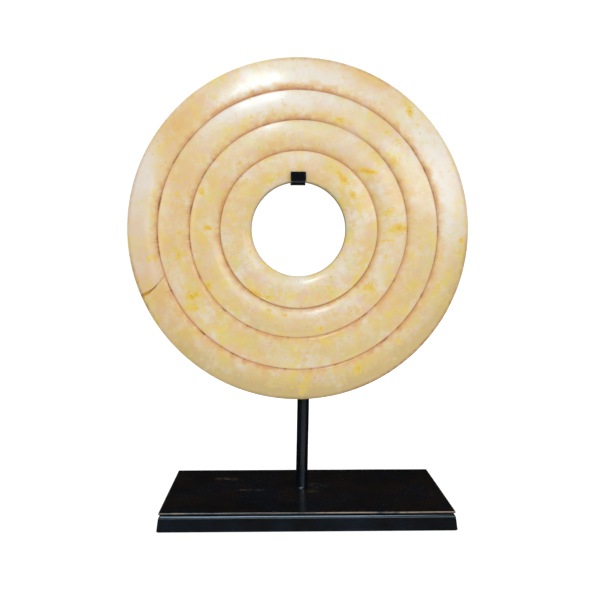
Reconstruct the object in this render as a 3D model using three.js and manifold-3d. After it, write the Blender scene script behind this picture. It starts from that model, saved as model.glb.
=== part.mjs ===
// A ringed stone bi disc hung upright on a black steel stand.
// Millimetres, +Z up, the carved face towards -Y. The origin is on the ground under the middle.
import * as THREE from 'three';
import { mergeVertices } from 'three/addons/utils/BufferGeometryUtils.js';
import Module from 'manifold-3d';

// The disc's plan: its rim, its hole and the three grooves cut between its four rings.
const rimRadius = 140;
const holeRadius = 38.7;
const grooveRadii = [64.2, 88.4, 113.9];
const holeRise = 0.8;            // the hole was bored this much above the rim's centre
const discBottomHeight = 91.9;   // the rim's lowest point above the ground

// The disc's faces, ring by ring from the hole outwards: heights over the plane of the rim at a ring's
// inner edge, its top and its outer lip, where its top is as a share of its width from its inner edge,
// and the power of its fall from there to the lip.
const frontFace = {
  starts: [4.1, 4.2, 5.6, 4.5],
  tops: [7.4, 7.6, 7.2, 5.6],
  lips: [5.9, 5.6, 4.6, 0.8],
  peaks: [0.38, 0.39, 0.16, 0.12],
  falls: [1.6, 1.6, 1.6, 1.3],
  grooveDepth: 0.35,
  riseSteps: 2,
  fallSteps: 4,
};
const backFace = {
  starts: [4.8, 4.7, 4.4, 3.8],
  tops: [6.0, 5.8, 5.4, 4.5],
  lips: [4.7, 4.4, 3.8, 2.6],
  peaks: [0.5, 0.5, 0.5, 0.5],
  falls: [1.6, 1.6, 1.6, 1.6],
  grooveDepth: 0.2,
  riseSteps: 1,
  fallSteps: 2,
};
const risePower = 1.6;           // each ring rises steeply from its inner edge
const grooveInside = 0.55;       // from a ring's lip to the bottom of the groove outside it
const grooveOutside = 1.1;       // and from there up to the next ring
const rimRound = 3.2;            // width over which both faces round into the rim
const holeRoundWidth = 1.4;      // the worn arris of the hole
const holeRoundDepth = 1.3;

// The base, a tray of folded sheet with its sides splayed outwards.
const baseWidth = 228.5;
const baseDepth = 117.4;
const baseHeight = 14.4;
const baseSheet = 2.5;
const baseFlare = 1.5;           // how far each side stands out at the ground
const baseBend = 2.2;            // radius of the folded top edges
const leastInnerBend = 0.6;
const baseOffset = 6.1;          // the base stands this much right of the disc's middle

// The round post and the steel ring at its top that the disc leans back on.
const postDiameter = 10;
const postOffset = 3.2;          // its foot, right of the disc's middle
const postLean = 1;              // degrees to the right
const postBehindMiddle = 7.4;    // the post's axis behind the middle of the base
const ringSetBack = 7.3;         // how far the ring's bore stands back from the disc's hole
const ringBand = 14;             // width of the ring's flat face
const ringThickness = 3;
const lapDepth = 2;              // flat cut in the post's front where the ring is welded
const postTopBelowRingHole = 1;
const weldGap = 0.3;

// The hook, a flat strap that passes under the top of the hole and turns up in front.
const hookWidth = 12.4;
const hookThickness = 1.2;
const hookBend = 0.9;            // inner radius of its bends
const hookLipHeight = 9.4;
const hookOffset = -0.4;
const hookLegMargin = 3;         // between the strap's top end and the ring's outer edge
const hangGap = 0.15;            // between the strap and the hole that hangs on it
const leanGap = 0.3;             // between the disc's faces and the steel

// How finely the round forms are divided.
const discSegments = 72;
const roundSteps = 3;
const ringSegments = 48;
const postSegments = 32;
const bendSegments = 4;

// Places that follow from the sizes.
const discCentreHeight = discBottomHeight + rimRadius;
const holeCentreHeight = discCentreHeight + holeRise;
const ringInnerRadius = holeRadius + ringSetBack;
const ringOuterRadius = ringInnerRadius + ringBand;
const postFront = postBehindMiddle - postDiameter / 2;
const ringBack = postFront + lapDepth - weldGap;
const ringFront = ringBack - ringThickness;
const discPlane = ringFront - leanGap - Math.max(...backFace.tops);
const ringEdges = [holeRadius, ...grooveRadii, rimRadius];

const wasm = await Module();
wasm.setup();

function toSolid(geometry) {
  const bare = geometry.clone();
  bare.deleteAttribute('normal');
  bare.deleteAttribute('uv');
  const merged = mergeVertices(bare);
  return new wasm.Manifold(new wasm.Mesh({
    numProp: 3,
    vertProperties: new Float32Array(merged.attributes.position.array),
    triVerts: new Uint32Array(merged.index.array),
  }));
}

function toGeometry(solid) {
  const mesh = solid.getMesh();
  const geometry = new THREE.BufferGeometry();
  geometry.setAttribute('position', new THREE.BufferAttribute(new Float32Array(mesh.vertProperties), 3));
  geometry.setIndex(new THREE.BufferAttribute(new Uint32Array(mesh.triVerts), 1));
  geometry.computeVertexNormals();
  return geometry;
}

function namedMesh(name, geometry, material) {
  const mesh = new THREE.Mesh(geometry, material);
  mesh.name = name;
  return mesh;
}

function stoneMaterial() {
  return new THREE.MeshStandardMaterial({ color: 0xe8d3a6, roughness: 0.35, metalness: 0 });
}

function blackSteelMaterial() {
  return new THREE.MeshStandardMaterial({ color: 0x101113, roughness: 0.38, metalness: 0.2 });
}

// Height of one ring over the rim's plane: its top, less what it falls towards its inner edge and its lip.
function ringHeight(radius, ring, face) {
  const across = (radius - ringEdges[ring]) / (ringEdges[ring + 1] - ringEdges[ring]);
  const peak = face.peaks[ring];
  const inside = Math.max(0, 1 - across / peak);
  const outside = Math.max(0, (across - peak) / (1 - peak));
  const top = face.tops[ring];
  return top - (top - face.starts[ring]) * inside ** risePower
    - (top - face.lips[ring]) * outside ** face.falls[ring];
}

// The same ring with its arrises rounded, as an ellipse, at the hole and at the rim.
function roundedHeight(radius, ring, face) {
  const toHole = Math.min(1, (radius - holeRadius) / holeRoundWidth);
  const toRim = Math.min(1, (rimRadius - radius) / rimRound);
  const worn = holeRoundDepth * (1 - Math.sqrt(1 - (1 - toHole) ** 2));
  return (ringHeight(radius, ring, face) - worn) * Math.sqrt(1 - (1 - toRim) ** 2);
}

// Evenly spaced values from start to end, both included.
function stepped(start, end, steps) {
  return Array.from({ length: steps + 1 }, (unused, i) => start + (end - start) * (i / steps));
}

// Radii at which one ring is drawn, up to its top and down to its lip, rounded at the hole and the rim.
function ringRadii(ring, face) {
  const [inner, outer] = [ringEdges[ring], ringEdges[ring + 1]];
  const isFirst = ring === 0;
  const isLast = ring === ringEdges.length - 2;
  const top = inner + (outer - inner) * face.peaks[ring];
  const start = inner + (isFirst ? holeRoundWidth : grooveOutside);
  const end = outer - (isLast ? rimRound : grooveInside);
  const angles = stepped(0, Math.PI / 2, roundSteps);
  const intoHole = angles.slice(0, -1).map((angle) => inner + holeRoundWidth * (1 - Math.cos(angle)));
  const overRim = angles.slice(1, -1).map((angle) => outer - rimRound * (1 - Math.sin(angle)));
  const rise = stepped(start, top, face.riseSteps);
  const fall = stepped(top, end, face.fallSteps).slice(1);
  return [...(isFirst ? intoHole : []), ...rise, ...fall, ...(isLast ? overRim : [])];
}

// Section points of one face, towards -Y for side -1: each ring, and the bottom of the groove outside it.
function facePoints(face, side) {
  const points = [];
  for (let ring = 0; ring < ringEdges.length - 1; ring += 1) {
    for (const radius of ringRadii(ring, face)) {
      points.push(new THREE.Vector2(radius, side * roundedHeight(radius, ring, face)));
    }
    if (ring < grooveRadii.length) {
      const bottom = Math.min(face.lips[ring], face.starts[ring + 1]) - face.grooveDepth;
      points.push(new THREE.Vector2(grooveRadii[ring], side * bottom));
    }
  }
  return points;
}

// The disc's closed section, out along the front face, over the rim and in along the back.
function discSection() {
  const front = facePoints(frontFace, -1);
  const back = facePoints(backFace, 1);
  const rim = new THREE.Vector2(rimRadius, 0);
  return [...front, rim, ...back.reverse(), front[0].clone()];
}

// The turned disc, its inner parts raised in step with how near they are to the hole.
function makeDisc() {
  const geometry = new THREE.LatheGeometry(discSection(), discSegments);
  const position = geometry.attributes.position;
  for (let i = 0; i < position.count; i += 1) {
    const radius = Math.hypot(position.getX(i), position.getZ(i));
    const nearHole = (rimRadius - radius) / (rimRadius - holeRadius);
    position.setZ(i, position.getZ(i) + holeRise * nearHole);
  }
  const disc = namedMesh('disc', geometry, stoneMaterial());
  disc.position.set(0, discPlane, discCentreHeight);
  return disc;
}

// A closed block through level rectangles, each given by its half width, half depth and height.
function stackedBlock(levels) {
  const vertices = [];
  for (const { halfWidth, halfDepth, height } of levels) {
    vertices.push(-halfWidth, -halfDepth, height, halfWidth, -halfDepth, height);
    vertices.push(halfWidth, halfDepth, height, -halfWidth, halfDepth, height);
  }
  const index = [0, 2, 1, 0, 3, 2];
  for (let level = 0; level < levels.length - 1; level += 1) {
    for (let side = 0; side < 4; side += 1) {
      const a = level * 4 + side;
      const b = level * 4 + ((side + 1) % 4);
      index.push(a, b, b + 4, a, b + 4, a + 4);
    }
  }
  const top = (levels.length - 1) * 4;
  index.push(top, top + 1, top + 2, top, top + 2, top + 3);
  const geometry = new THREE.BufferGeometry();
  geometry.setAttribute('position', new THREE.Float32BufferAttribute(vertices, 3));
  geometry.setIndex(index);
  return geometry;
}

// Levels of a splayed tray side from the ground up, then round its folded edge onto the top.
function trayLevels(inset, bendRadius, bottom, top) {
  const splay = baseFlare / baseHeight;
  const levelAt = (height, drawnIn) => ({
    halfWidth: baseWidth / 2 + splay * (baseHeight - height) - inset - drawnIn,
    halfDepth: baseDepth / 2 + splay * (baseHeight - height) - inset - drawnIn,
    height,
  });
  const levels = [levelAt(bottom, 0)];
  for (let i = 0; i <= bendSegments; i += 1) {
    const angle = (Math.PI / 2) * (i / bendSegments);
    levels.push(levelAt(top - bendRadius * (1 - Math.sin(angle)), bendRadius * (1 - Math.cos(angle))));
  }
  return levels;
}

function makeBase() {
  const innerBend = Math.max(baseBend - baseSheet, leastInnerBend);
  const outer = toSolid(stackedBlock(trayLevels(0, baseBend, 0, baseHeight)));
  const inner = toSolid(stackedBlock(trayLevels(baseSheet, innerBend, -baseSheet, baseHeight - baseSheet)));
  const base = namedMesh('base', toGeometry(outer.subtract(inner)), blackSteelMaterial());
  base.position.x = baseOffset;
  return base;
}

// The post, leaning a little, with a flat at its top where the ring is let into its front.
function makePost() {
  const bottom = baseHeight + weldGap;
  const top = holeCentreHeight - ringInnerRadius - postTopBelowRingHole;
  const rod = new THREE.CylinderGeometry(postDiameter / 2, postDiameter / 2, top - bottom, postSegments);
  rod.rotateX(Math.PI / 2);
  rod.translate(0, 0, (top - bottom) / 2);
  const leanSlope = Math.tan(THREE.MathUtils.degToRad(postLean));
  rod.applyMatrix4(new THREE.Matrix4().makeShear(0, 0, 0, 0, leanSlope, 0));
  rod.translate(postOffset, postBehindMiddle, bottom);
  const lapBottom = holeCentreHeight - ringOuterRadius - weldGap;
  const lapHeight = top - lapBottom + postDiameter;
  const cutter = new THREE.BoxGeometry(postDiameter * 2, postDiameter, lapHeight);
  cutter.translate(postOffset, postFront + lapDepth - postDiameter / 2, lapBottom + lapHeight / 2);
  return namedMesh('post', toGeometry(toSolid(rod).subtract(toSolid(cutter))), blackSteelMaterial());
}

function makeBackRing() {
  const section = [
    new THREE.Vector2(ringInnerRadius, 0),
    new THREE.Vector2(ringOuterRadius, 0),
    new THREE.Vector2(ringOuterRadius, ringThickness),
    new THREE.Vector2(ringInnerRadius, ringThickness),
    new THREE.Vector2(ringInnerRadius, 0),
  ];
  const ring = namedMesh('back_ring', new THREE.LatheGeometry(section, ringSegments), blackSteelMaterial());
  ring.position.set(0, ringFront, holeCentreHeight);
  return ring;
}

// Side view of the strap: down behind the ring, forward under the hole and up in front of the disc.
function hookOutline(back, front, shelf, legTop, lipTop) {
  const outerBend = hookBend + hookThickness;
  const bendHeight = shelf + outerBend;
  const outline = new THREE.Shape();
  outline.moveTo(back, legTop);
  outline.lineTo(back, bendHeight);
  outline.absarc(back - outerBend, bendHeight, outerBend, 0, -Math.PI / 2, true);
  outline.absarc(front + outerBend, bendHeight, outerBend, -Math.PI / 2, -Math.PI, true);
  outline.lineTo(front, lipTop);
  outline.lineTo(front + hookThickness, lipTop);
  outline.absarc(front + outerBend, bendHeight, hookBend, -Math.PI, -Math.PI / 2, false);
  outline.absarc(back - outerBend, bendHeight, hookBend, -Math.PI / 2, 0, false);
  outline.lineTo(back - hookThickness, legTop);
  outline.closePath();
  return outline;
}

function makeHook() {
  const halfWidth = hookWidth / 2 + Math.abs(hookOffset);
  const holeFlat = holeRadius * Math.cos(Math.PI / discSegments);
  const restAboveCentre = Math.sqrt(holeFlat ** 2 - halfWidth ** 2);
  const shelf = holeCentreHeight + restAboveCentre - hangGap - hookThickness;
  const lipTop = shelf + hookLipHeight;
  const front = discPlane - frontFace.tops[0] - leanGap - hookThickness;
  const back = ringBack + weldGap + hookThickness;
  const legTop = holeCentreHeight + ringOuterRadius - hookLegMargin;
  const geometry = new THREE.ExtrudeGeometry(hookOutline(back, front, shelf, legTop, lipTop), {
    depth: hookWidth,
    bevelEnabled: false,
    curveSegments: bendSegments,
  });
  const along = new THREE.Matrix4().makeBasis(
    new THREE.Vector3(0, 1, 0),
    new THREE.Vector3(0, 0, 1),
    new THREE.Vector3(1, 0, 0),
  );
  geometry.applyMatrix4(along);
  geometry.translate(hookOffset - hookWidth / 2, 0, 0);
  return namedMesh('hook', geometry, blackSteelMaterial());
}

const discOnStand = new THREE.Group();
discOnStand.add(makeDisc(), makeBase(), makePost(), makeBackRing(), makeHook());

export default discOnStand;
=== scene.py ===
import math
import bpy
import numpy as np
from mathutils import Euler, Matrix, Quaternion, Vector


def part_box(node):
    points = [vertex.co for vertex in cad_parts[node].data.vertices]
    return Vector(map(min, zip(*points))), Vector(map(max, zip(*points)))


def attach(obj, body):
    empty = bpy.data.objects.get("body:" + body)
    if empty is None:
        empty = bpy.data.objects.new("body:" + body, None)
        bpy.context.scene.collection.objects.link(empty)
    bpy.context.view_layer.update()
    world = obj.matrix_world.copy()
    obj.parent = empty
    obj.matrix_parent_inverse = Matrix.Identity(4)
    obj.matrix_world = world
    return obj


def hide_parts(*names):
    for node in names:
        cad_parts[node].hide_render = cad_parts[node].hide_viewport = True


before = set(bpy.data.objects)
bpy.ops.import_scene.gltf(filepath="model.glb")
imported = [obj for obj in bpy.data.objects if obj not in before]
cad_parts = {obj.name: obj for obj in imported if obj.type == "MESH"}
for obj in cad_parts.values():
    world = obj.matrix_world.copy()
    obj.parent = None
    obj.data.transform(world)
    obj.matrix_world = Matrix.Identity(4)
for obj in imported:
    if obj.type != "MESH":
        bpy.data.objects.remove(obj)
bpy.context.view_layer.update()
print("frame loaded:", ", ".join(sorted(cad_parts)))

millimetre = 0.001


def nodeBox(name):
    # lowest and highest corner of a CAD node, in millimetres
    low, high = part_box(name)
    return np.array(low) / millimetre, np.array(high) / millimetre


def eased(value, start, end):
    # 0 before start, 1 after end, and between them 3 t squared less 2 t cubed
    t = np.clip((value - start) / (end - start), 0, 1)
    return t * t * (3 - 2 * t)


def ripples(seed, points, length, count=8):
    # the sum of sine waves in random directions, each near the given length, mostly within -1 and 1
    draw = np.random.default_rng(seed)
    directions = draw.normal(size=(count, points.shape[-1]))
    directions /= np.linalg.norm(directions, axis=1)[:, None]
    waveVectors = directions / (length * draw.uniform(0.7, 1.5, count))[:, None]
    phases = draw.uniform(0, 2 * np.pi, count)
    return np.sin(2 * np.pi * points @ waveVectors.T + phases).sum(axis=-1) / math.sqrt(count)


def pieceFromGrid(name, points, node, material, closedAlong=False, sharpAngle=None):
    # points[i, j] in millimetres: j runs round a closed loop and i from loop to loop; quads join
    # neighbours, and one flat face closes each end unless the last loop joins the first; the volume is
    # summed from the triple products of the corners, and where it is negative every face is turned over
    loops, around = points.shape[:2]
    order = np.arange(loops * around).reshape(loops, around)
    after = np.roll(order, -1, axis=0) if closedAlong else order[1:]
    before = order if closedAlong else order[:-1]
    corners = [before, np.roll(before, -1, axis=1), np.roll(after, -1, axis=1), after]
    quads = np.stack(corners, axis=-1).reshape(-1, 4)
    flat = points.reshape(-1, 3)
    a, b, c, d = (flat[quads[:, k]] for k in range(4))
    volume = np.einsum("ij,ij->i", a, np.cross(b, c)).sum() + np.einsum("ij,ij->i", a, np.cross(c, d)).sum()
    if not closedAlong:
        ends = np.array([flat[order[0]].mean(axis=0), flat[order[-1]].mean(axis=0)])
        for loop, centre, turn in ((order[0], ends[0], -1), (order[-1], ends[1], 1)):
            ring = flat[loop]
            fan = np.cross(ring, np.roll(ring, -1, axis=0)) @ centre
            volume += turn * fan.sum()
    faces = quads.tolist()
    if not closedAlong:
        faces += [order[0][::-1].tolist(), order[-1].tolist()]
    if volume < 0:
        faces = [face[::-1] for face in faces]
    mesh = bpy.data.meshes.new(name)
    mesh.from_pydata((flat * millimetre).tolist(), [], faces)
    mesh.update()
    mesh.shade_smooth()
    if sharpAngle:
        mesh.set_sharp_from_angle(angle=math.radians(sharpAngle))
    mesh.materials.append(material)
    piece = bpy.data.objects.new(name, mesh)
    bpy.context.scene.collection.objects.link(piece)
    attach(piece, "root")
    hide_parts(node)
    return piece


def paintPoints(piece, name, values):
    # one number for each point, which a material reads by its name
    attribute = piece.data.attributes.new(name, "FLOAT", "POINT")
    attribute.data.foreach_set("value", np.asarray(values, np.float32).ravel())


class Shade:
    # wraps one socket of a material; sums, products and powers of shades add Math nodes
    def __init__(self, tree, socket=None):
        self.tree = tree
        self.socket = socket

    def node(self, kind, settings=None, inputs=None, output=0):
        # any node: its settings first, then the values or links of its sockets
        made = self.tree.nodes.new(kind)
        for name, value in (settings or {}).items():
            setattr(made, name, value)
        for key, value in (inputs or {}).items():
            if isinstance(value, Shade):
                self.tree.links.new(value.socket, made.inputs[key])
            else:
                made.inputs[key].default_value = value
        return Shade(self.tree, made.outputs[output])

    def maths(self, operation, *operands):
        # one Math node over the operands in their order
        return self.node("ShaderNodeMath", {"operation": operation}, dict(enumerate(operands)))

    def __add__(self, other):
        return self.maths("ADD", self, other)

    def __sub__(self, other):
        return self.maths("SUBTRACT", self, other)

    def __rsub__(self, other):
        return self.maths("SUBTRACT", other, self)

    def __mul__(self, other):
        return self.maths("MULTIPLY", self, other)

    def __truediv__(self, other):
        return self.maths("DIVIDE", self, other)

    def __pow__(self, other):
        return self.maths("POWER", self, other)

    __radd__ = __add__
    __rmul__ = __mul__

    def smaller(self, other):
        # the lesser of the two
        return self.maths("MINIMUM", self, other)

    def larger(self, other):
        # the greater of the two
        return self.maths("MAXIMUM", self, other)

    def held(self):
        # kept between 0 and 1
        return self.smaller(1).larger(0)

    def ramp(self, start, end):
        # 0 at start, 1 at end, eased between them
        settings = {"interpolation_type": "SMOOTHSTEP"}
        values = {"Value": self, "From Min": start, "From Max": end}
        return self.node("ShaderNodeMapRange", settings, values)

    def paint(self, under, over):
        # this shade is how much of colour over covers colour under
        return self.node("ShaderNodeMix", {"data_type": "RGBA"}, {0: self, 6: under, 7: over}, output=2)

    def vector(self, operation, other, output="Vector"):
        # one Vector Math node over this shade and another
        return self.node("ShaderNodeVectorMath", {"operation": operation}, {0: self, 1: other}, output)

    def axis(self, name):
        # one coordinate of a position, in millimetres
        return self.node("ShaderNodeSeparateXYZ", None, {0: self}, output=name) / millimetre

    def noise(self, size, seed=0, detail=3, rough=0.55):
        # smooth noise from 0 to 1 over this position, its lumps about size millimetres apart
        moved = self.vector("ADD", (0.37 * seed, 0.23 * seed, 0.31 * seed))
        values = {"Vector": moved, "Scale": 1 / (size * millimetre), "Detail": detail, "Roughness": rough}
        return self.node("ShaderNodeTexNoise", None, values, output="Fac")

    def attribute(self, name):
        # the numbers painted on the piece's points under this name
        return self.node("ShaderNodeAttribute", {"attribute_name": name}, output="Fac")


def besideLine(across, up, points):
    # distance from a line through the points, all in millimetres: the least over its straight runs of the
    # distance to the nearest place on that run
    least = None
    for (startX, startY), (endX, endY) in zip(points, points[1:]):
        runX, runY = endX - startX, endY - startY
        square = runX ** 2 + runY ** 2
        along = ((across - startX) * (runX / square) + (up - startY) * (runY / square)).held()
        away = ((across - startX - along * runX) ** 2 + (up - startY - along * runY) ** 2) ** 0.5
        least = away if least is None else least.smaller(away)
    return least


def linear(red, green, blueReflection):
    # a colour as seen on a screen, 0 to 255, as the linear one that shaders use
    shares = np.array([red, green, blueReflection]) / 255
    low, high = shares / 12.92, ((shares + 0.055) / 1.055) ** 2.4
    return (*np.where(shares <= 0.04045, low, high).tolist(), 1.0)


def newMaterial(name, settings):
    # a Principled material with its plain settings, and a shade to build its nodes from
    material = bpy.data.materials.new(name)
    material.use_nodes = True
    principled = material.node_tree.nodes["Principled BSDF"]
    for socket, value in settings.items():
        principled.inputs[socket].default_value = value
    return material, principled, Shade(material.node_tree)


def connect(principled, **shades):
    # each shade drives the input of its name, where a low line stands for a space
    for name, shade in shades.items():
        shade.tree.links.new(shade.socket, principled.inputs[name.replace("_", " ")])


camera = {
    "place": (-14.8, -623.4, 208.4),    # millimetres
    "turnRight": 1.49,                  # degrees, as are the next two
    "tiltDown": 3.13,
    "roll": 0.11,
    "lens": 45,
    "sensor": 36,
}


def placeCamera():
    # turned about the upright, then tilted about its own across line, then rolled
    data = bpy.data.cameras.new("camera")
    data.lens, data.sensor_width = camera["lens"], camera["sensor"]
    eye = bpy.data.objects.new("camera", data)
    eye.rotation_mode = "QUATERNION"
    tilt, turn = math.radians(90 - camera["tiltDown"]), math.radians(-camera["turnRight"])
    facing = Euler((tilt, 0, turn)).to_quaternion()
    eye.rotation_quaternion = facing @ Quaternion((0, 0, 1), math.radians(camera["roll"]))
    eye.location = np.array(camera["place"]) * millimetre
    bpy.context.scene.collection.objects.link(eye)
    bpy.context.scene.camera = eye


placeCamera()
print("camera placed")

disc = {
    "loopsRound": 480,
    "ringSteps": 30,           # stations over each ring in front
    "backSteps": 12,
    "wallSteps": 6,
    "crowdEnds": 0.93,         # how much closer the stations stand beside the grooves
    "holeRadius": 38.7,
    "grooveRadii": (64.2, 88.4, 113.9),
    "grooveWander": (          # how each groove strays: cosine and sine once round, then twice round
        (0.33, -0.45, 0.07, 0.13),
        (0.06, 0.08, 0.14, 0.54),
        (-0.48, -0.76, 0.27, -0.11),
    ),
    "risePower": 1.6,          # each ring rises steeply from its inner edge
    "rimRound": 3.2,
    "holeRoundWidth": 1.4,
    "holeRoundDepth": 1.3,
    "grooveDepth": 0.3,
    "grooveInside": 0.55,      # the crisp lip, and the gentler slope outside it
    "grooveOutside": 1.1,
    "depthWave": 0.2,          # share by which the depth varies along a groove
    "depthWaveLength": 30,
    "backDepth": 0.6,          # the back's grooves, stain and line as shares of the front's
    "backStain": 0.5,
    "backLine": 0.4,
    "handWave": 0.11,          # how far the carver's hand strays
    "handWaveLength": 46,
    "smallWave": 0.035,
    "smallWaveLength": 15,
    "ringApart": 40.0,         # sets each ring's straying apart from the next one's
    "calmEdge": 6,             # within this of the hole and the rim the straying eases off
    "noGroove": 60.0,          # distance given where there is no groove on that side
}
# for each ring, heights over the rim's plane at its inner edge, its top and its outer lip, where the top is
# as a share of its width, and the power of its fall towards the lip
discFront = {
    "starts": (4.1, 4.2, 5.6, 4.5),
    "tops": (7.4, 7.6, 7.2, 5.6),
    "lips": (5.9, 5.6, 4.6, 0.8),
    "peaks": (0.38, 0.39, 0.16, 0.12),
    "falls": (1.6, 1.6, 1.6, 1.3),
}
discBack = {
    "starts": (4.8, 4.7, 4.4, 3.8),
    "tops": (6.0, 5.8, 5.4, 4.5),
    "lips": (4.7, 4.4, 3.8, 2.6),
    "peaks": (0.5, 0.5, 0.5, 0.5),
    "falls": (1.6, 1.6, 1.6, 1.6),
}

# broad washes of colour in front, the pale ones partly painted highlight and the khaki ones partly painted
# shade: angle and span in degrees, counter-clockwise from the right, then radius, span and strength
washes = {
    # pale: the stone's whitish tone, and painted highlight on the ring tops at the top, on the right rim
    # and in crescents low on the inner rings
    "paleAndHighlight": (
        (22, 26, 127, 15, 1.0), (5, 18, 122, 9, 0.5), (163, 11, 132, 9, 1.0), (178, 10, 131, 8, 0.5),
        (72, 20, 124, 9, 0.5), (100, 28, 108, 8, 1.1), (95, 26, 82, 7, 0.6), (104, 16, 123, 8, 1.3),
        (84, 12, 125, 8, 0.9), (62, 12, 80, 7, 0.5),
        (348, 14, 76, 9, 0.35), (222, 16, 45, 7, 0.3), (30, 18, 104, 8, 0.4), (158, 12, 136, 6, 0.8),
        (98, 30, 102, 6, 0.6), (122, 16, 112, 9, 0.7), (92, 18, 58, 6, 0.6), (230, 25, 69, 4, 0.6),
        (280, 32, 69, 4, 0.7), (335, 22, 69, 4, 0.6), (275, 24, 44, 5, 0.9), (330, 20, 46, 5, 0.5),
        (95, 18, 136, 5, 0.6), (35, 14, 129, 8, 0.6), (62, 14, 96, 6, 0.4), (125, 14, 82, 6, 0.4),
    ),
    "blush": (
        (180, 18, 132, 9, 0.6), (160, 8, 136, 5, 0.2), (58, 14, 76, 9, 0.7), (75, 14, 50, 8, 0.4),
        (345, 26, 93, 4, 0.35), (278, 14, 79, 8, 0.5), (203, 14, 78, 9, 0.4), (140, 18, 98, 8, 0.4),
        (195, 10, 124, 10, 0.6), (14, 12, 135, 5, 0.3), (80, 8, 127, 6, 0.3), (118, 16, 132, 5, 0.35),
    ),
    "amber": (
        (139, 11, 128, 11, 1.0), (207, 12, 126, 13, 0.8), (225, 8, 123, 10, 0.5), (62, 10, 134, 6, 0.7),
        (272, 8, 131, 6, 0.8), (75, 12, 137, 4, 0.5), (298, 22, 136, 7, 0.5), (330, 12, 136, 6, 0.35),
        (172, 22, 98, 9, 0.5), (148, 12, 66, 6, 0.4), (165, 30, 47, 8, 0.5), (38, 12, 46, 6, 0.5),
        (195, 14, 82, 7, 0.5), (70, 14, 96, 7, 0.3), (95, 14, 43, 4, 0.6), (185, 18, 104, 7, 0.4),
        (155, 14, 106, 7, 0.3),
    ),
    # khaki: the stone's khaki tone on the lower half, with painted shade where the rings and rim face down,
    # away from the light above
    "khakiAndShade": (
        (252, 22, 132, 11, 0.8), (290, 24, 132, 10, 0.8), (320, 24, 130, 11, 0.6), (228, 12, 131, 8, 0.5),
        (285, 26, 103, 8, 0.4), (250, 16, 100, 8, 0.3), (305, 36, 137, 5, 0.9), (250, 30, 137, 5, 0.9),
        (335, 22, 136, 5, 0.5), (245, 16, 84, 6, 0.6), (275, 20, 84, 5, 0.4), (340, 20, 106, 8, 0.4),
        (305, 16, 110, 5, 0.4),
    ),
}
# yellow marks in front: across and up from the disc's middle, half length, half width, turn and strength
ochreMarks = (
    (71, 79, 3, 2, 20, 0.8), (81, 71, 5, 3, -50, 0.7), (77, 55, 4, 4, 0, 1.1), (57, 47, 9, 2.4, -3, 1.2),
    (52, 48, 6, 2, -25, 0.8), (89, 75, 5, 3, -55, 0.7), (90, 98, 8, 3, -65, 0.9),
    (36, 41, 9, 2.6, -52, 1.1), (24, 50, 6, 3, 0, 0.8), (44, 28, 6, 3, -50, 0.9),
    (73, 15, 2.4, 4, 0, 0.9), (82, 1, 7, 4.5, 10, 1.1), (70, -9, 4, 3, -10, 0.9), (77, -13, 3, 6, 0, 0.6),
    (134, -8, 3, 5, 0, 0.9), (132, -18, 4, 3, 0, 0.7), (58, -47, 5, 5, 40, 0.9), (55, -55, 4, 3, 0, 0.6),
    (92, -48, 4, 4, 0, 0.7), (114, -48, 5, 3, 40, 0.9), (71, -22, 3, 3, 0, 0.6), (102, -22, 4, 5, 0, 0.5),
    (82, -91, 5, 3.5, 20, 0.7), (49, -113, 4, 5, -20, 1.0), (8, -121, 3, 8, -15, 1.0),
    (4, -131, 4, 6, 0, 0.9), (-86, -54, 8, 3.4, 5, 1.1), (-86, -64, 7, 4, 10, 0.9),
    (-74, -46, 5, 3, -30, 1.2), (-35, -52, 7, 2.4, -25, 1.3), (-25, -55, 5, 2, -10, 1.1),
    (-25, -68, 3, 4, 20, 0.8), (-11, -70, 5, 1.8, -30, 0.9), (-73, 1, 5, 2, 0, 1.1),
    (-98, -20, 3, 7, 0, 0.9), (18, -82, 3, 4, 0, 0.9), (21, -48, 4, 3, 0, 0.7),
    (-120, -24, 5, 4, 10, 0.8), (-98, 29, 4, 3, 0, 0.8), (-78, 30, 3, 4, 20, 0.8),
    (15, 92, 10, 2.4, -4, 0.7), (36, 87, 8, 3, -14, 0.8), (-23, 39, 7, 3, 12, 0.8),
    (-1, 50, 4, 2, 0, 0.8), (-48, 53, 5, 3, 30, 0.6), (-96, -2, 3, 6, 0, 0.6), (-60, 66, 6, 3, 30, 0.4),
    (20, -92, 3, 2.4, 0, 0.6), (-52, -88, 3, 2.4, 0, 0.5), (-30, -98, 3, 3, 0, 0.5),
    (34, -20, 3, 3, 0, 0.3), (60, 62, 3, 3, 0, 0.4), (-12, 63, 8, 2, -4, 0.5), (100, 8, 3, 4, 0, 0.4),
    (-36, 92, 6, 3, 20, 0.4), (-62, 5, 3, 3, 0, 0.6),
)
# where the stain beside each groove fades, and where its dark line does: angle, span and share lost
stainFades = (
    ((0, 40, 0.2), (55, 30, 0.2), (255, 40, 0.3), (135, 30, 0.15)),
    ((62, 14, 0.6), (345, 25, 0.25), (225, 30, 0.2)),
    ((60, 12, 0.4), (350, 20, 0.2), (155, 16, 0.2)),
)
lineFades = (
    ((45, 50, 0.8), (130, 40, 0.7), (180, 20, 0.3)),
    ((62, 14, 0.8), (35, 40, 0.5), (90, 30, 0.3), (130, 20, 0.2)),
    ((75, 40, 0.7), (125, 20, 0.4)),
)
stainStrengths = (0.8, 0.9, 1.0)
lineStrengths = (0.35, 0.8, 0.9)
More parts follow.
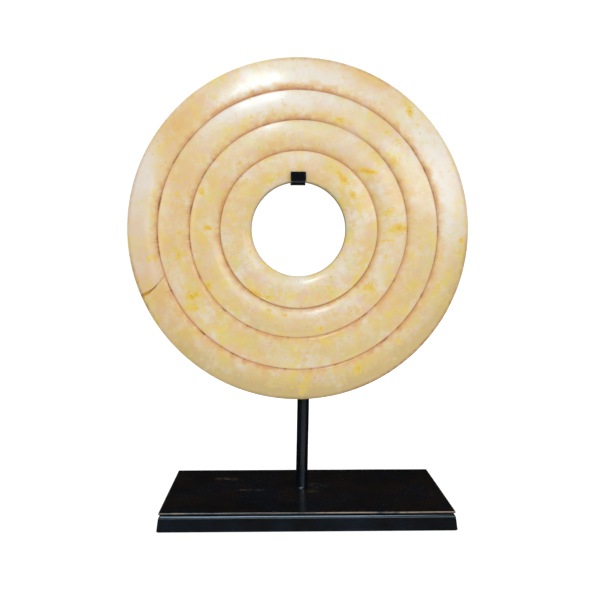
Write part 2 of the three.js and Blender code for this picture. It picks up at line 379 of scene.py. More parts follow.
# where brown stain clings to the rim, and painted shade darkens the lower rim where it turns from the
# light: angle, span, radius, span and strength
rimStainsAndShade = (
    (322, 24, 139, 6, 1.0), (297, 12, 139, 6, 0.8), (268, 8, 139, 6, 0.5), (205, 8, 139, 6, 0.9),
    (192, 8, 139, 6, 0.6), (352, 6, 139, 6, 0.7), (60, 10, 139, 6, 0.7), (85, 14, 139, 6, 0.6),
    (20, 12, 139, 6, 0.3), (165, 14, 139, 6, 0.5),
)


def wander(angle, about, straying):
    # a groove's radius: a mean plus slow sine and cosine waves once and twice round
    onceCos, onceSin, twiceCos, twiceSin = straying
    once = onceCos * np.cos(angle) + onceSin * np.sin(angle)
    return about + once + twiceCos * np.cos(2 * angle) + twiceSin * np.sin(2 * angle)


def crowdedShares(steps):
    # shares from 0 to 1 that crowd towards both ends: t less a sine wave
    t = np.linspace(0, 1, steps + 1)
    return t - disc["crowdEnds"] * np.sin(2 * np.pi * t) / (2 * np.pi)


def faceStations(angle, edges, steps):
    # radius, share over its ring, ring number and distances to the grooves on either side, for each station
    shares = crowdedShares(steps)[:-1]
    inner, outer = edges[:, :-1, None], edges[:, 1:, None]
    radius = inner + (outer - inner) * shares
    share = np.broadcast_to(shares, radius.shape)
    ring = np.broadcast_to(np.arange(edges.shape[1] - 1)[:, None], radius.shape)
    flat = (len(angle), -1)
    return (part.reshape(flat) for part in (radius, share, ring, radius - inner, outer - radius))


def faceHeight(radius, share, ring, face, rim):
    # each ring's top, less what it falls by power curves towards its start and its lip
    names = ("starts", "tops", "lips", "peaks", "falls")
    start, top, lip, peak, fall = (np.array(face[name])[ring] for name in names)
    inside, outside = np.clip(1 - share / peak, 0, 1), np.clip((share - peak) / (1 - peak), 0, 1)
    height = top - (top - start) * inside ** disc["risePower"] - (top - lip) * outside ** fall
    # both edges round over: a quarter ellipse taken off at the hole, one multiplied in at the rim
    toHole = np.clip((radius - disc["holeRadius"]) / disc["holeRoundWidth"], 0, 1)
    toRim = np.clip((rim - radius) / disc["rimRound"], 0, 1)
    worn = disc["holeRoundDepth"] * (1 - np.sqrt(1 - (1 - toHole) ** 2))
    return (height - worn) * np.sqrt(1 - (1 - toRim) ** 2)


def grooveCut(ring, past, toNext, depth, step):
    # steep inside each groove line, down the lip's step, eased outside it, and none at the hole or the rim
    inside = (depth + step) * np.clip(1 - toNext / disc["grooveInside"], 0, 1) ** 1.3 * (ring < 3)
    outside = depth * np.exp(-((past / disc["grooveOutside"]) ** 2) * 2.2) * (ring > 0)
    return np.maximum(inside, outside)


def washAt(angle, radius, marks):
    # the sum of soft ovals laid out by angle and radius
    degrees = np.degrees(angle)[..., None]
    at = np.array(marks, float)
    turn = (degrees - at[:, 0] + 180) % 360 - 180
    away = (turn / at[:, 1]) ** 2 + ((radius[..., None] - at[:, 2]) / at[:, 3]) ** 2
    return (at[:, 4] * np.exp(-away)).sum(axis=-1)


def marksAt(across, up, marks):
    # the strongest of soft turned ovals laid out across and up
    at = np.array(marks, float)
    turn = np.radians(at[:, 4])
    dx, dz = across[..., None] - at[:, 0], up[..., None] - at[:, 1]
    along = (dx * np.cos(turn) + dz * np.sin(turn)) / at[:, 2]
    aside = (dz * np.cos(turn) - dx * np.sin(turn)) / at[:, 3]
    return (at[:, 5] * np.exp(-(along ** 2 + aside ** 2) * 0.7)).max(axis=-1)


def fadeAt(angle, marks):
    # 1, less each fade's soft dip round its angle
    degrees = np.degrees(angle)[..., None]
    at = np.array(marks, float)
    turn = (degrees - at[:, 0] + 180) % 360 - 180
    return np.clip(1 - (at[:, 2] * np.exp(-((turn / at[:, 1]) ** 2))).sum(axis=-1), 0, 1)


def besideGrooves(angle, ring, strengths, fades):
    # each groove's strength less its fades, for the stations of the ring outside it
    shares = zip(strengths, fades)
    return sum((ring == number + 1) * strength * fadeAt(angle, marks)[:, None]
               for number, (strength, marks) in enumerate(shares))


def makeDisc(material):
    # each loop is the disc's whole section at one angle: the front from hole to rim, back behind to the
    # hole, then the wall; all is lifted the more the nearer the hole, whose middle is off the rim's
    low, high = nodeBox("disc")
    ringLow, ringHigh = nodeBox("back_ring")
    rim = (high[0] - low[0]) / 2
    middle = (low + high) / 2
    rise = (ringLow[2] + ringHigh[2]) / 2 - middle[2]
    angle = np.linspace(0, 2 * np.pi, disc["loopsRound"], endpoint=False)
    hole = np.full_like(angle, disc["holeRadius"])
    courses = zip(disc["grooveRadii"], disc["grooveWander"])
    grooves = [wander(angle, about, straying) for about, straying in courses]
    edges = np.stack([hole, *grooves, np.full_like(angle, rim)], axis=1)
    radius, share, ring, past, toNext = faceStations(angle, edges, disc["ringSteps"])
    height = faceHeight(radius, share, ring, discFront, rim)
    starts, lips = np.array(discFront["starts"]), np.array(discFront["lips"])
    step = np.append(np.maximum(lips[:-1] - starts[1:], 0), 0)[ring]
    turned = np.broadcast_to(angle[:, None], radius.shape)
    spot = np.stack([radius * np.cos(turned), radius * np.sin(turned)], axis=-1)
    eachRing = np.stack([spot[..., 0], spot[..., 1], ring * disc["ringApart"]], axis=-1)
    strays = disc["handWave"] * ripples(3, eachRing, disc["handWaveLength"])
    strays += disc["smallWave"] * ripples(4, eachRing, disc["smallWaveLength"])
    calmEdge = disc["calmEdge"]
    calm = eased(radius - disc["holeRadius"], 0, calmEdge) * eased(rim - radius, 0, calmEdge)
    stain = besideGrooves(angle, ring, stainStrengths, stainFades)
    line = besideGrooves(angle, ring, lineStrengths, lineFades)
    depth = disc["grooveDepth"] * (1 + disc["depthWave"] * ripples(5, spot, disc["depthWaveLength"]))
    height = height + strays * calm - grooveCut(ring, past, toNext, depth, step)

    backRadius, backShare, backRing, backPast, backNext = faceStations(angle, edges, disc["backSteps"])
    backHeight = faceHeight(backRadius, backShare, backRing, discBack, rim)
    backHeight -= disc["backDepth"] * grooveCut(backRing, backPast, backNext, disc["grooveDepth"], 0)
    plane = high[1] - backHeight.max()

    rimEdge = np.full((len(angle), 1), rim)
    wallShare = np.linspace(0, 1, disc["wallSteps"] + 1)[None, 1:-1]
    backHole = backHeight[:, :1]
    wallDepth = backHole + (-height[:, :1] - backHole) * wallShare
    wallRadius = np.full((len(angle), wallShare.shape[1]), disc["holeRadius"])
    allRadius = np.concatenate([radius, rimEdge, backRadius[:, ::-1], wallRadius], axis=1)
    allDepth = np.concatenate([-height, 0 * rimEdge, backHeight[:, ::-1], wallDepth], axis=1)
    lift = rise * (rim - allRadius) / (rim - disc["holeRadius"])
    allAngle = np.broadcast_to(angle[:, None], allRadius.shape)
    across = allRadius * np.cos(allAngle)
    up = allRadius * np.sin(allAngle)
    points = np.stack([middle[0] + across, plane + allDepth, middle[2] + up + lift], axis=-1)
    piece = pieceFromGrid("ringedDisc", points, "disc", material, closedAlong=True)

    def whole(front, atRim, back, wall):
        # a value for every station of the section from those of its four parts
        parts = [front, np.full_like(rimEdge, atRim), back[:, ::-1], np.full_like(wallRadius, wall)]
        return np.concatenate(parts, axis=1)

    far = disc["noGroove"]
    frontPast, behindPast = np.where(ring > 0, past, far), np.where(backRing > 0, backPast, far)
    frontNext, behindNext = np.where(ring < 3, toNext, far), np.where(backRing < 3, backNext, far)
    paintPoints(piece, "pastGroove", whole(frontPast, far, behindPast, far))
    paintPoints(piece, "toGroove", whole(frontNext, far, behindNext, far))
    paintPoints(piece, "stain", whole(stain, 0, disc["backStain"] * (backRing > 0), 0))
    paintPoints(piece, "line", whole(line, 0, disc["backLine"] * (backRing > 0), 0))
    isFront = whole(np.ones_like(radius), 0.5, np.zeros_like(backRadius), 0)
    paintPoints(piece, "front", isFront)
    paintPoints(piece, "rimStainAndShade", washAt(allAngle, allRadius, rimStainsAndShade) * isFront)
    for name, marks in washes.items():
        paintPoints(piece, name, washAt(allAngle, allRadius, marks) * isFront)
    paintPoints(piece, "ochre", marksAt(across, up, ochreMarks) * isFront)
    return piece


stone = {
    "cream": linear(230, 208, 158),
    "tan": linear(230, 194, 126),
    "milk": linear(231, 219, 200),
    "yellow": linear(233, 207, 100),
    "pink": linear(229, 192, 170),
    "green": linear(216, 209, 144),
    # pale is also the colour of the painted highlights
    "paleAndHighlight": linear(234, 228, 219),
    "blush": linear(227, 198, 172),
    "amber": linear(228, 182, 114),
    # khaki is also the colour of the painted shade on the lower half
    "khakiAndShade": linear(208, 180, 116),
    "ochre": linear(232, 200, 88),
    "deepOchre": linear(230, 178, 36),
    "tint": linear(228, 184, 114),
    "stain": linear(206, 140, 98),
    "line": linear(150, 84, 48),
    "lip": linear(222, 174, 148),
    "speck": linear(150, 120, 88),
    "crackGold": linear(204, 142, 44),
    "crackDark": linear(146, 92, 60),
    # tones laid over cream in turn: lump size, seed, detail and roughness of their noise, the levels it is
    # ramped between, strength and colour
    "tones": (
        (34, 3, 4, 0.6, 0.4, 0.6, 1, "tan"),
        (20, 4, 6, 0.62, 0.4, 0.66, 0.9, "milk"),
        (11, 5, 5, 0.68, 0.46, 0.62, 0.9, "tan"),
        (19, 6, 6, 0.66, 0.48, 0.62, 0.85, "yellow"),
        (13, 7, 6, 0.68, 0.5, 0.64, 0.75, "pink"),
        (9, 8, 5, 0.7, 0.52, 0.66, 0.7, "green"),
    ),
    "washRagged": 2.6,         # how ragged the edges of the washes are, and how strongly they cover
    "washStrength": 0.85,
    "tintReach": 4.5,          # how far the tint spreads outside a groove, and further where it smears
    "tintSmear": 6,
    "stainReach": 0.9,
    "lipReach": 1.9,           # the lip tint's reach inside the groove
    "lineOutside": 0.6,        # the dark line's width on either side of the groove
    "lineInside": 0.2,
    "crack": ((-129, -54), (-122, -50.8), (-117.5, -47), (-112.5, -41.5), (-109, -37)),
    "crackDeep": 0.12,         # depths and heights of the fine relief, in millimetres
    "stainDeep": 0.02,
    "grainHigh": 0.008,
    "blotchHigh": 0.025,
    "raggedHigh": 0.01,
    "roughness": 0.36,
    "coat": 0.7,
    "coatRoughness": 0.14,
    "index": 1.5,              # of refraction
}


def stoneMaterial():
    # mottled tones, then washes, some of them painted highlight and painted shade, flecks and marks, then
    # tint, stain and line beside the grooves, then the crack, the rim's stain with painted shade on the
    # lower rim, and specks, each laid over what is under it
    settings = {
        "Coat Weight": stone["coat"],
        "Coat Roughness": stone["coatRoughness"],
        "IOR": stone["index"],
    }
    material, principled, start = newMaterial("paleYellowStone", settings)
    place = start.node("ShaderNodeTexCoord", output="Object")
    low, high = nodeBox("disc")
    middle = (low + high) / 2
    across, up = place.axis("X") - middle[0], place.axis("Z") - middle[2]
    front = start.attribute("front")
    blotch = place.noise(8, 1, detail=5, rough=0.7)
    ragged = place.noise(4.5, 2, detail=5, rough=0.75)
    uneven = (ragged - 0.5) * 3.2

    # tones of stone run softly through each other, large and small
    colour = stone["cream"]
    for size, seed, detail, rough, begins, ends, share, tone in stone["tones"]:
        lumps = place.noise(size, seed, detail, rough).ramp(begins, ends) * share
        colour = lumps.paint(colour, stone[tone])
    # the pale washes paint highlights and the khaki washes paint shade, over the stone's own tones
    for name in washes:
        laid = (start.attribute(name) * (0.8 + (blotch - 0.5) * stone["washRagged"])).held()
        colour = (laid * stone["washStrength"]).paint(colour, stone[name])

    # natural flecks all over, and the larger marks of the front, both with ragged edges
    flecks = ragged.ramp(0.57, 0.68) * place.noise(26, 9, detail=2).ramp(0.4, 0.58) * 0.7
    colour = flecks.paint(colour, stone["ochre"])
    marked = start.attribute("ochre") + uneven * 0.7 + (place.noise(2.2, 17, detail=3) - 0.5) * 1.4
    colour = (marked.ramp(0.4, 0.75) * 0.9).paint(colour, stone["ochre"])
    colour = (marked.ramp(0.8, 1.2) * 0.9).paint(colour, stone["deepOchre"])

    # outside each groove a soft tint, ragged stain in short streaks along the radius, then the dark line
    past, toNext = start.attribute("pastGroove"), start.attribute("toGroove")
    radius = (across ** 2 + up ** 2) ** 0.5
    aim = start.node("ShaderNodeCombineXYZ", None, {0: across / radius, 1: up / radius, 2: front * 0.3})
    spread = aim.vector("MULTIPLY", (0.1, 0.1, 0.1))
    streak = spread.noise(5.5, 10, detail=3, rough=0.6).ramp(0.36, 0.64)
    smear = place.noise(7, 15, detail=3, rough=0.5).ramp(0.3, 0.7)
    knots = spread.noise(8, 16, detail=3, rough=0.65).ramp(0.5, 0.66)
    strength = start.attribute("stain") * (0.5 + 0.5 * spread.noise(20, 11, detail=2).ramp(0.35, 0.6))
    tintReach = stone["tintReach"] + smear * stone["tintSmear"]
    tinted = (1 - past / tintReach).held() * strength * (0.7 + smear * 0.5)
    colour = (tinted * 1.15).held().paint(colour, stone["tint"])
    stainReach = stone["stainReach"] + smear * 2.2 + streak * 1.6 + knots * 1.4
    stained = (1 - past / stainReach).held() ** 0.7 * strength
    colour = (stained * 0.8).held().paint(colour, stone["stain"])
    onLip = (1 - toNext / stone["lipReach"]).held() * (0.25 + streak * 0.3)
    colour = onLip.paint(colour, stone["lip"])
    lineOutside, lineInside = stone["lineOutside"] + knots * 1.1, stone["lineInside"] + knots * 0.5
    nearLine = (past / lineOutside).smaller(toNext / lineInside)
    line = (1 - nearLine).held() * start.attribute("line") * (0.6 + knots * 0.6)
    colour = line.held().paint(colour, stone["line"])

    # the crack is wide and golden at the rim, thin and dark further in, then a faint line to the groove
    shaken = uneven * 0.4
    fromCrack = besideLine(across + shaken, up + shaken, stone["crack"])
    atRim = across.ramp(-119, -124)
    cracked = (1 - fromCrack / (atRim * 1.2 + 0.8)).held() * (0.35 + 0.65 * across.ramp(-114, -118)) * front
    colour = (cracked * 1.5).held().paint(colour, atRim.paint(stone["crackDark"], stone["crackGold"]))
    # brown stain caught along parts of the rim, with painted shade along the lower rim
    rimmed = start.attribute("rimStainAndShade") * (ragged - 0.3) * 3 * radius.ramp(136.5, 139.6)
    colour = (rimmed.held() * 0.75).paint(colour, stone["line"])
    specks = place.noise(2.6, 12, detail=1).ramp(0.72, 0.78) * place.noise(17, 13, detail=1).ramp(0.5, 0.62)
    colour = (specks * 0.5).paint(colour, stone["speck"])

    grain = place.noise(0.9, 14, detail=2)
    relief = grain * stone["grainHigh"] + blotch * stone["blotchHigh"] + ragged * stone["raggedHigh"]
    relief = relief - cracked * stone["crackDeep"] - stained * stone["stainDeep"]
    bump = start.node("ShaderNodeBump", None, {"Strength": 1.0, "Distance": millimetre, "Height": relief})
    roughness = stone["roughness"] + (blotch - 0.5) * 0.16 + stained * 0.2 + line * 0.3
    connect(principled, Base_Color=colour, Roughness=roughness, Normal=bump)
    return material


makeDisc(stoneMaterial())
print("disc carved")

steel = {
    "black": linear(9, 9, 10),
    # brown: a painted reflection on the foot's top
    "brownReflection": linear(22, 15, 12),
    # blue: painted reflection of the cool light in front
    "blueReflection": linear(6, 13, 22),
    "worn": linear(158, 132, 102),
    "scuff": linear(108, 98, 92),
    "roughness": 0.2,
    "specular": 0.45,
    "sheenTint": (0.8, 0.92, 1.0, 1),
}
foot = {
    "sheet": 2.5,
    "flare": 1.5,              # how far its sides splay out
    "capInset": 30,            # from here inwards one flat face makes the plate
    "lipHeight": 1.15,         # the top plate's own edge
    "lipRound": 0.45,
    "grooveHeight": 0.6,
    "grooveDepth": 0.4,
    "beadRound": 3.6,
    "beadOut": 0.3,
    "cornerRadius": 0.8,
    "slitDepth": 1.3,
    "rubbedLeft": 103,         # left of the foot's middle
    "rubbedRight": 14,         # and from here on to the right
    "leastRubbed": 0.4,
    "rubbedBehind": 0.5,
    "dentAt": 38,              # right of the foot's middle
    "dentDepth": 0.28,
    "scratchWide": 1.3,
    "arcsRight": 3,            # the middle of the scuffed arcs, right of the rod and in front of it
    "arcsFront": 3,
    "arcRadius": 13,
    "arcSpread": 8,            # how far from that radius they fade out
    "wave": 0.05,
    "waveLength": 60,
    "cornerSteps": 10,
    "sideSteps": 44,
}
footScratches = (
    ((-72, 30), (-66, 33), (-60, 32), (-53, 30)),
    ((-68, 28), (-61, 29), (-56, 27)),
    ((-57, -1), (-40, -2), (-28, -2)),
)
footAndRod = bpy.data.collections.new("footAndRod")    # two of the lights are kept to these


def blackMaterial(name, extras):
    # thin semi-gloss black paint with patches of painted blue reflection, and what each piece adds to its
    # colour
    settings = {"Specular IOR Level": steel["specular"], "Specular Tint": steel["sheenTint"]}
    material, principled, start = newMaterial(name, settings)
    place = start.node("ShaderNodeTexCoord", output="Object")
    patches = place.noise(26, 1, detail=4)
    speckle = place.noise(1.3, 2, detail=3)
    # patches of painted blue reflection over the black
    colour = patches.ramp(0.4, 0.65).paint(steel["black"], steel["blueReflection"])
    roughness = steel["roughness"] + (patches - 0.5) * 0.2 + (speckle - 0.5) * 0.14
    colour, roughness = extras(start, place, colour, roughness)
    relief = speckle * 0.02 + patches * 0.03
    bump = start.node("ShaderNodeBump", None, {"Strength": 1.0, "Distance": millimetre, "Height": relief})
    connect(principled, Base_Color=colour, Roughness=roughness, Normal=bump)
    return material


def plainSteel(start, place, colour, roughness):
    # a thin patchy dust
    dust = place.noise(3.2, 5, detail=3).ramp(0.62, 0.8) * 0.12
    return dust.paint(colour, steel["scuff"]), roughness


def footSteel(start, place, colour, roughness):
    # a painted brown reflection and scratches on top, paint rubbed through along the lip, scuffed rings
    # round the rod
    across, back = place.axis("X"), place.axis("Y")
    top = start.attribute("top")
    patch = place.noise(30, 6, detail=3)
    # patches of painted brown reflection on the top faces
    colour = (top * patch.ramp(0.3, 0.7)).paint(colour, steel["brownReflection"])
    rubbed = start.attribute("wear") * place.noise(16, 7, detail=4, rough=0.7).ramp(0.3, 0.62)
    colour = rubbed.held().paint(colour, steel["worn"])
    uneven = (place.noise(5, 8, detail=3) - 0.5) * 3
    scratched = None
    for points in footScratches:
        nearness = 1 - (besideLine(across, back + uneven, points) / foot["scratchWide"]).held()
        scratched = nearness if scratched is None else scratched.larger(nearness)
    scratched = scratched * place.noise(7, 9, detail=3).ramp(0.4, 0.62) * top
    low, high = nodeBox("post")
    postY = (low[1] + high[1]) / 2
    # the rod leans right, so its foot is at the left end of its box
    postX = low[0] + (high[1] - low[1]) / 2
    aside, ahead = across - postX - foot["arcsRight"], (back - postY + foot["arcsFront"]) * 1.3
    fromRod = (aside ** 2 + ahead ** 2) ** 0.5
    patchy = place.noise(9, 10, detail=2).ramp(0.42, 0.6)
    near = (1 - start.maths("ABSOLUTE", fromRod - foot["arcRadius"]) / foot["arcSpread"]).held() * patchy
    onRight = (across - postX).ramp(0, 8)
    arcs = start.maths("SINE", fromRod * 1.9).ramp(0.2, 1.0) * near * top * onRight
    marks = (scratched * 0.6 + arcs * 0.6).held()
    colour = marks.paint(colour, steel["scuff"])
    return colour, roughness + top * 0.04 + rubbed * 0.2


def roundedLoops(halfWide, halfDeep, corner, notch, cornerSteps, sideSteps):
    # one rounded rectangle for each set of values: four quarter circles with straight runs between them;
    # notch pulls the middle of each quarter circle in towards the centre
    given = (halfWide, halfDeep, corner, notch)
    halfWide, halfDeep, corner, notch = (np.asarray(values, float)[:, None, None] for values in given)
    quarter = np.linspace(0, np.pi / 2, cornerSteps + 1)
    turn = quarter + (np.arange(4) * np.pi / 2)[:, None]
    signX = np.array([1, -1, -1, 1])[:, None]
    signY = np.array([1, 1, -1, -1])[:, None]
    pull = notch * (1 - np.abs(2 * quarter / (np.pi / 2) - 1)) / math.sqrt(2)
    arcX = signX * (halfWide - corner) + corner * np.cos(turn) - signX * pull
    arcY = signY * (halfDeep - corner) + corner * np.sin(turn) - signY * pull
    share = np.linspace(0, 1, sideSteps + 1)[1:-1]
    nextX, nextY = np.roll(arcX[..., :1], -1, axis=1), np.roll(arcY[..., :1], -1, axis=1)
    runX = arcX[..., -1:] + (nextX - arcX[..., -1:]) * share
    runY = arcY[..., -1:] + (nextY - arcY[..., -1:]) * share
    loops = np.stack([np.concatenate([arcX, runX], axis=2), np.concatenate([arcY, runY], axis=2)], axis=-1)
    return loops.reshape(len(loops), -1, 2)


def bend(centre, radius, start, end, steps):
    # points on an arc about centre, its angles in degrees
    turn = np.radians(np.linspace(start, end, steps + 1))
    return np.stack([centre[0] + radius * np.cos(turn), centre[1] + radius * np.sin(turn)], axis=-1)


def makeFoot(material):
    # a side view carried round a rectangle: top plate with its lip, a fine groove, a rounded bead, splayed
    # side, then up inside to the underside of the plate
    low, high = nodeBox("base")
    middle = (low + high) / 2
    top = high[2] - low[2]
    flare, sheet, inset = foot["flare"], foot["sheet"], foot["capInset"]
    halfWide, halfDeep = (high[:2] - low[:2]) / 2 - flare
    lip, groove = foot["lipHeight"], foot["grooveHeight"]
    lipRound, grooveDepth = foot["lipRound"], foot["grooveDepth"]
    beadRound, beadOut = foot["beadRound"], foot["beadOut"]
    beadTop = top - lip - groove
    outer = [
        np.array([[-inset, top], [-6, top], [-1.5, top]]),
        bend((-lipRound, top - lipRound), lipRound, 90, 0, 5),
        bend((-grooveDepth / 2, top - lip), grooveDepth / 2, 0, -90, 3),
        np.array([[-grooveDepth, top - lip - groove / 2]]),
        bend((beadOut - beadRound, beadTop - beadRound), beadRound, 78, 5, 7),
        np.array([[beadOut + 0.35, 7.0], [flare - 0.05, 0.4], [flare, 0.12], [flare - 0.12, 0.0]]),
    ]
    inner = [
        np.array([[flare - sheet + 0.12, 0.0], [flare - sheet, 0.12], [-sheet + 0.3, top - sheet - 1.0]]),
        bend((-sheet - 0.4, top - sheet - 0.7), 0.7, 0, 90, 4),
        np.array([[-sheet - 4, top - sheet], [-inset, top - sheet]]),
    ]
    side = np.concatenate(outer + inner)
    offset, height = side[:, 0], side[:, 1]
    outerCount = sum(len(part) for part in outer)
    isOuter = np.arange(len(side)) < outerCount
    corner = np.where(isOuter, np.clip(foot["cornerRadius"] + offset * 0.2, 0.3, 2), 0.4)
    slit = foot["slitDepth"] * eased(beadTop + 0.2 - height, 0, 1.2) * isOuter
    steps = (foot["cornerSteps"], foot["sideSteps"])
    loops = roundedLoops(halfWide + offset, halfDeep + offset, corner, slit, *steps)
    tall = np.broadcast_to(height[:, None], loops.shape[:2])
    # the bead was knocked in at one place, and the sheet is not quite flat
    across = loops[..., 0]
    isFrontSide = loops[..., 1] < -halfDeep + 3
    dent = np.exp(-((across - foot["dentAt"]) / 4.5) ** 2 - ((tall - beadTop) / 1.4) ** 2) * isFrontSide
    deep = loops[..., 1] + foot["dentDepth"] * dent * isOuter[:, None]
    wave = foot["wave"] * ripples(11, loops, foot["waveLength"]) * isOuter[:, None]
    tall = tall + wave * (tall > 1.0)
    points = np.stack([middle[0] + across, middle[1] + deep, low[2] + tall], axis=-1)
    piece = pieceFromGrid("foldedFoot", points, "base", material, sharpAngle=50)
    onLip = np.exp(-((offset + 0.12) / 0.3) ** 2 - ((height - top + 0.28) / 0.42) ** 2) * isOuter
    # the lip is rubbed most near its left corner and right of the rod
    rubbedLeft = np.exp(-((across + foot["rubbedLeft"]) / 13) ** 2)
    rubbedRight = eased(across, foot["rubbedRight"] - 8, foot["rubbedRight"])
    rubbed = foot["leastRubbed"] + (1 - foot["leastRubbed"]) * np.maximum(rubbedLeft, rubbedRight)
    paintPoints(piece, "wear", onLip[:, None] * np.where(isFrontSide, rubbed, foot["rubbedBehind"]))
    onTop = (np.arange(len(side)) < 4) * 1.0
    paintPoints(piece, "top", np.broadcast_to(onTop[:, None], loops.shape[:2]))
    return piece


footAndRod.objects.link(makeFoot(blackMaterial("footPaint", footSteel)))
print("foot folded")

rod = {
    "around": 96,
    "fillet": 1.1,             # the weld at its foot
    "sunk": 0.1,
    "endRound": 0.5,
    "flatBack": 2.0,           # the cut where the ring is welded, from the rod's front
    "belowRing": 0.3,
    "wave": 0.02,
    "waveLength": 40,
}


def makeRod(material):
    # circles up a leaning axis, wider at the weld and drawn in at the top; above the cut its front is flat,
    # to lie against the ring; it leans right, so its box is wider than it is deep by the lean
    low, high = nodeBox("post")
    baseTop = nodeBox("base")[1][2]
    ringLow = nodeBox("back_ring")[0]
    radius = (high[1] - low[1]) / 2
    middle = (low + high) / 2
    lean = (high[0] - low[0] - 2 * radius) / (high[2] - low[2])
    fillet = rod["fillet"]
    quarter = np.linspace(0, np.pi / 2, 7)
    cutFrom = ringLow[2] - rod["belowRing"]
    height = np.concatenate([
        [baseTop - rod["sunk"]],
        baseTop + fillet * (1 - np.cos(quarter)),
        np.linspace(baseTop + 3, cutFrom - 0.02, 60),
        [cutFrom],
        np.linspace(cutFrom + 1, high[2] - rod["endRound"], 8),
        high[2] - rod["endRound"] * (1 - np.sin(quarter[1:])),
    ])
    widened = fillet * (1 - np.sin(np.arccos(np.clip(1 - (height - baseTop) / fillet, 0, 1))))
    intoEnd = np.clip((height - high[2]) / rod["endRound"] + 1, 0, 1)
    drawnIn = rod["endRound"] * (1 - np.sqrt(1 - intoEnd ** 2))
    widened = np.where(height < baseTop + fillet, widened, 0)
    around = np.linspace(0, 2 * np.pi, rod["around"], endpoint=False)
    reach = (radius + widened - drawnIn)[:, None]
    across = reach * np.cos(around)
    back = reach * np.sin(around)
    tall = np.broadcast_to(height[:, None], across.shape)
    cut = np.where(tall >= cutFrom, rod["flatBack"] - radius, -2 * radius)
    back = np.maximum(back, cut)
    waved = rod["wave"] * ripples(21, np.stack([across, back, tall], axis=-1), rod["waveLength"])
    leaned = low[0] + radius + (tall - baseTop) * lean
    points = np.stack([leaned + across * (1 + waved / radius), middle[1] + back, tall], axis=-1)
    return pieceFromGrid("standRod", points, "post", material, sharpAngle=50)


footAndRod.objects.link(makeRod(blackMaterial("rodPaint", plainSteel)))

backRing = {
    "around": 180,
    "band": 14,
    "ease": 0.5,
    "closeGap": 0.3,
}


def makeBackRing(material):
    # a rounded rectangle turned round the hole's axis; its back closes the small gap to the rod
    low, high = nodeBox("back_ring")
    middle = (low + high) / 2
    halfBand = backRing["band"] / 2
    thick = high[1] - low[1] + backRing["closeGap"]
    section = roundedLoops([halfBand], [thick / 2], [backRing["ease"]], [0], 4, 4)[0]
    around = np.linspace(0, 2 * np.pi, backRing["around"], endpoint=False)[:, None]
    reach = (high[0] - low[0]) / 2 - halfBand + section[:, 0]
    across, up = reach * np.cos(around), reach * np.sin(around)
    depth = np.broadcast_to(low[1] + thick / 2 + section[:, 1], across.shape)
    points = np.stack([middle[0] + across, depth, middle[2] + up], axis=-1)
    return pieceFromGrid("backRing", points, "back_ring", material, closedAlong=True)


makeBackRing(blackMaterial("ringPaint", plainSteel))

hook = {
    "thickness": 1.2,
    "lipHeight": 9.4,
    "innerBend": 0.9,
    "edge": 0.35,
    "chamfer": 1.2,            # the sides of its shelf and lower corners are filed away
    "steps": 14,
}


def makeHook(material):
    # a rounded strip carried down the back, under the hole's top and up in front; its ends draw in
    low, high = nodeBox("hook")
    thickness, middle = hook["thickness"], (low + high) / 2
    half = thickness / 2
    turn = hook["innerBend"] + half
    back, front = high[1] - half, low[1] + half
    bottom = low[2] + half
    lipTop = low[2] + hook["lipHeight"]
    backCentre, frontCentre = (back - turn, bottom + turn), (front + turn, bottom + turn)
    leg = np.linspace(high[2] - 0.01, bottom + turn + 0.5, 12)
    lip = np.linspace(bottom + turn + 0.3, lipTop - 0.01, 10)
    shelf = np.linspace(back - turn - 0.4, front + turn + 0.4, 10)
    path = np.concatenate([
        np.stack([np.full_like(leg, back), leg], axis=-1),
        bend(backCentre, turn, 0, -90, hook["steps"]),
        np.stack([shelf, np.full_like(shelf, bottom)], axis=-1),
        bend(frontCentre, turn, -90, -180, hook["steps"]),
        np.stack([np.full_like(lip, front), lip], axis=-1),
    ])
    step = np.diff(path, axis=0)
    run = np.concatenate([[0], np.cumsum(np.linalg.norm(step, axis=1))])
    forward = np.gradient(path, run, axis=0)
    forward /= np.linalg.norm(forward, axis=1)[:, None]
    aside = np.stack([-forward[:, 1], forward[:, 0]], axis=-1)
    # the ends close over a quarter circle
    quarter = np.linspace(0, np.pi / 2, 5)[:-1]
    count, edge = len(quarter), hook["edge"]
    drawn = edge * (1 - np.sin(quarter))
    along = (edge * (1 - np.cos(quarter)))[:, None]
    startPath, endPath = path[0] + forward[0] * along, path[-1] - forward[-1] * along
    keep = (run > edge) & (run < run[-1] - edge)
    centre = np.concatenate([startPath, path[keep], endPath[::-1]])
    asides = np.concatenate([np.tile(aside[0], (count, 1)), aside[keep], np.tile(aside[-1], (count, 1))])
    inset = np.concatenate([drawn, np.zeros(keep.sum()), drawn[::-1]])
    runs = np.concatenate([np.zeros(count), run[keep], np.full(count, run[-1])])
    onShelf = run[len(leg) + hook["steps"]]
    lipStart = run[len(leg) + len(shelf) + 2 * (hook["steps"] + 1)]
    onFiled = eased(runs, onShelf - 1, onShelf + 3) * (1 - eased(runs, lipStart - 2.2, lipStart + 0.4))
    halfWide = (high[0] - low[0]) / 2 - inset - hook["chamfer"] * onFiled
    rounding = np.full(len(inset), edge * 0.8)
    loops = roundedLoops(halfWide, half - inset * 0.9, rounding, 0 * inset, 4, 4)
    sidewards = centre[:, None, :] + loops[..., 1:] * asides[:, None, :]
    points = np.concatenate([middle[0] + loops[..., :1], sidewards], axis=-1)
    return pieceFromGrid("hangingHook", points, "hook", material, sharpAngle=50)


makeHook(blackMaterial("hookPaint", plainSteel))
print("rod, ring and hook made")

